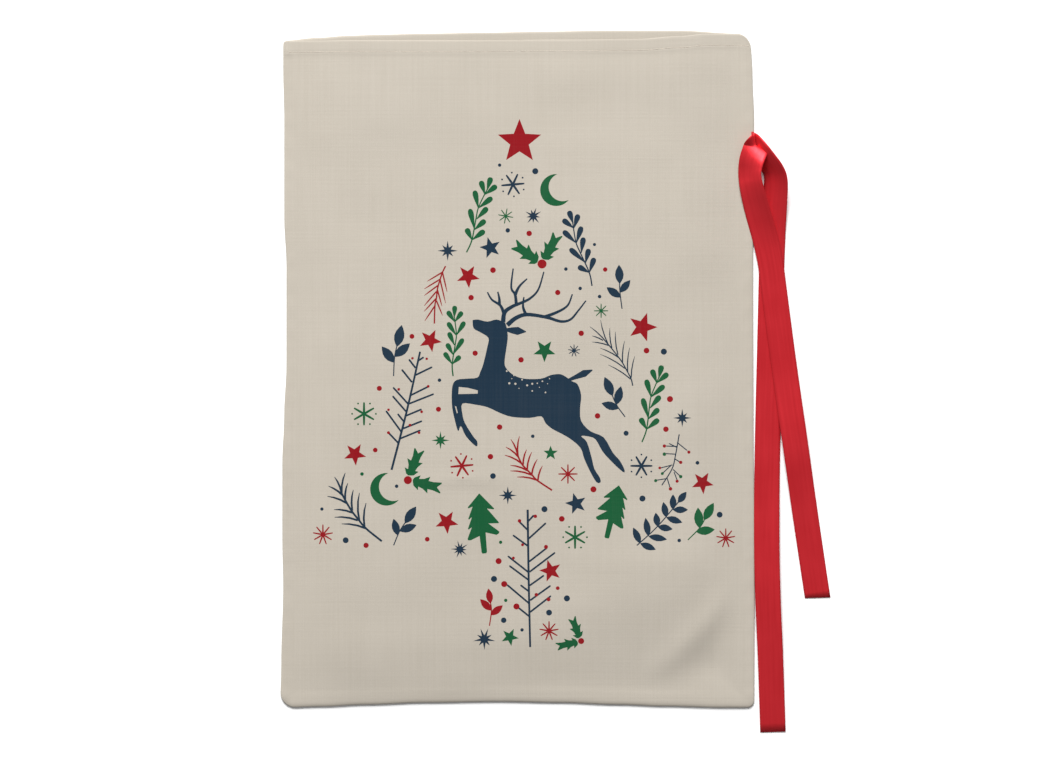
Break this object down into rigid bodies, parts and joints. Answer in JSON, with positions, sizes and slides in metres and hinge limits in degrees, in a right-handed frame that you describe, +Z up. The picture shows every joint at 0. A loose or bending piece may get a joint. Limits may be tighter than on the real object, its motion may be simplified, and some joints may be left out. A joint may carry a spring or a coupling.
{
  "type": "fabric gift sack",
  "caption": "Flat rectangular fabric gift sack with a hemmed mouth and a satin tie ribbon sewn by its middle into one side seam below the mouth.",
  "frame": {"origin": "middle of the sack's underside, on the table that it lies on, the loose ribbon left out", "axes": "+Z up out of the printed face, +Y along the sack's length towards the mouth, +X across it towards the ribbon"},
  "size_m": [0.536, 0.6866, 0.0083],
  "materials": {
    "cotton": "plain weave natural cotton, matt",
    "sewing_thread": "spun thread, matt",
    "satin_ribbon": "satin weave polyester, silky sheen",
    "print_red": "screen-print ink in cloth, matt",
    "print_green": "screen-print ink in cloth, matt",
    "print_navy": "screen-print ink in cloth, matt"
  },
  "bodies": {
    "back": {"back_panel": "cotton", "back_hem_stitching": "sewing_thread", "left_seam_thread": "sewing_thread", "right_seam_thread": "sewing_thread", "bottom_seam_thread": "sewing_thread", "left_overlock": "sewing_thread", "right_overlock": "sewing_thread", "bottom_overlock": "sewing_thread", "ribbon_sewn_end": "satin_ribbon"},
    "front": {"front_panel": "cotton", "front_hem_stitching": "sewing_thread"},
    "ribbon": {"ribbon_fold": "satin_ribbon", "ribbon_long_tail": "satin_ribbon", "ribbon_short_tail": "satin_ribbon"}
  },
  "joints": [
    {"name": "mouth_open", "type": "hinge", "parent": "back", "child": "front", "pos_m": [0, -0.33, 0.00125], "axis": [1, 0, 0], "range_deg": [0, 8]},
    {"name": "ribbon_swing", "type": "hinge", "parent": "back", "child": "ribbon", "pos_m": [0.2303, 0.2325, 0.00115], "axis": [0, 0, 1], "range_deg": [0, 90]}
  ]
}
